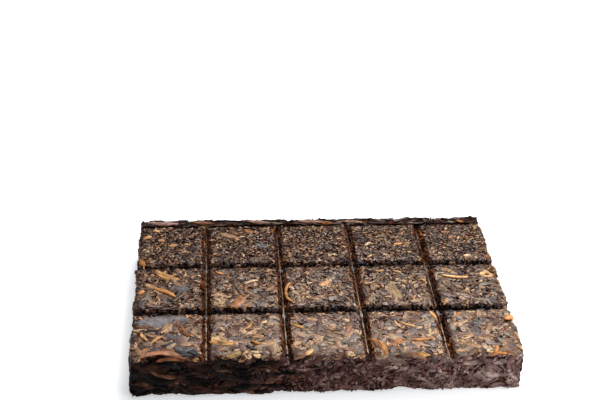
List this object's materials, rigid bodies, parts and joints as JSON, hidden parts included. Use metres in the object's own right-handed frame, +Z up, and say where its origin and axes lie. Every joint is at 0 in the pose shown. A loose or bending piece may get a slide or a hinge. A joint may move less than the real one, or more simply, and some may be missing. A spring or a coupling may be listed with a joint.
{
  "type": "pu erh tea brick",
  "caption": "Flat block of pressed tea leaf, grooved on top into rows of squares for breaking off, with a narrow rim along the back and a flat underside.",
  "frame": {"origin": "under the middle of the brick, on the surface that it lies on", "axes": "+X along the long side, to the right as seen from the front row; +Y from the front row to the rim; +Z up, from the flat underside to the squares"},
  "size_m": [0.1515, 0.1027, 0.0187],
  "materials": {
    "pressed_leaf": "rough pressed leaf with a dull sheen on the flat leaves"
  },
  "bodies": {
    "root": {"tea_brick": "pressed_leaf"}
  },
  "joints": []
}
